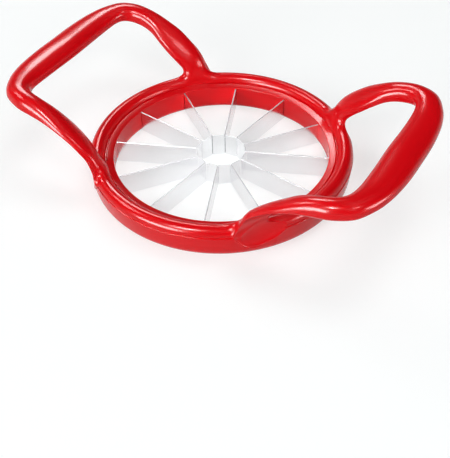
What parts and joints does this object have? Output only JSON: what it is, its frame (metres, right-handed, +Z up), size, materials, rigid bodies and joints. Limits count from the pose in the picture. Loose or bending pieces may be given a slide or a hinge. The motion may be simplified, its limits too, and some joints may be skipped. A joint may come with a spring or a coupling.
{
  "type": "apple slicer",
  "caption": "Push-down apple slicer and corer: a one-piece red moulded ring frame with two raised loop handles, and bent steel strips that form the radial blades and the corer.",
  "frame": {"origin": "centre of the ring at the surface that the slicer rests on", "axes": "+X towards the middle of one grip, +Z up towards the handles"},
  "size_m": [0.1908, 0.1222, 0.0462],
  "materials": {
    "frame": "glossy red moulding",
    "blade_steel": "satin stainless sheet"
  },
  "bodies": {
    "root": {"frame": "frame", "blade_strip_1": "blade_steel", "blade_strip_2": "blade_steel", "blade_strip_3": "blade_steel", "blade_strip_4": "blade_steel", "blade_strip_5": "blade_steel", "blade_strip_6": "blade_steel", "blade_strip_7": "blade_steel", "blade_strip_8": "blade_steel", "blade_strip_9": "blade_steel", "blade_strip_10": "blade_steel", "blade_strip_11": "blade_steel", "blade_strip_12": "blade_steel"}
  },
  "joints": []
}
